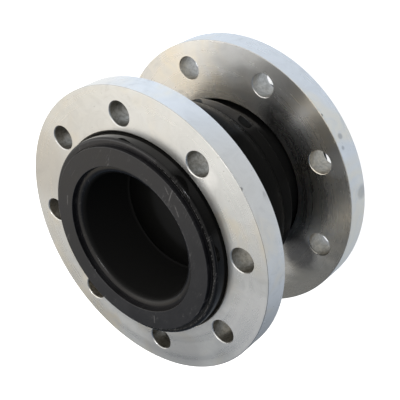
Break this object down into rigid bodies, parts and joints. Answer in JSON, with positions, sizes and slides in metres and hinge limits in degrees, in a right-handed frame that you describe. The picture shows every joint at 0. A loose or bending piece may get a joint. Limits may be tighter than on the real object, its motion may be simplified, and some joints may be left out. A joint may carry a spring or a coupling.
{
  "type": "flanged rubber expansion joint",
  "caption": "Short rubber pipe connector with a bulged middle and a beaded, flat-faced lip at each end, carrying a loose round steel flange with a circle of bolt holes behind each lip.",
  "frame": {"origin": "centre of the lower sealing face, on the pipe axis", "axes": "+Z along the pipe axis to the upper sealing face; +X halfway between two bolt holes of the upper flange"},
  "size_m": [0.22, 0.22, 0.148],
  "materials": {
    "moulded_rubber": "satin black moulded rubber",
    "zinc_plated_steel": "turned and zinc plated, fine turning marks"
  },
  "bodies": {
    "rubber": {"rubber_body": "moulded_rubber"},
    "upper_end": {"upper_flange": "zinc_plated_steel"},
    "lower_ring": {"lower_flange": "zinc_plated_steel"}
  },
  "joints": [
    {"name": "arch_travel", "type": "slide", "parent": "rubber", "child": "upper_end", "axis": [0, 0, 1], "range_m": [-0.018, 0.01], "stiffness_N_per_m": 50000, "springref_m": 0.00065, "deforming": ["rubber_body"]},
    {"name": "lower_swivel", "type": "hinge", "parent": "rubber", "child": "lower_ring", "pos_m": [0, 0, 0.0225], "axis": [0, 0, 1], "continuous": true}
  ]
}
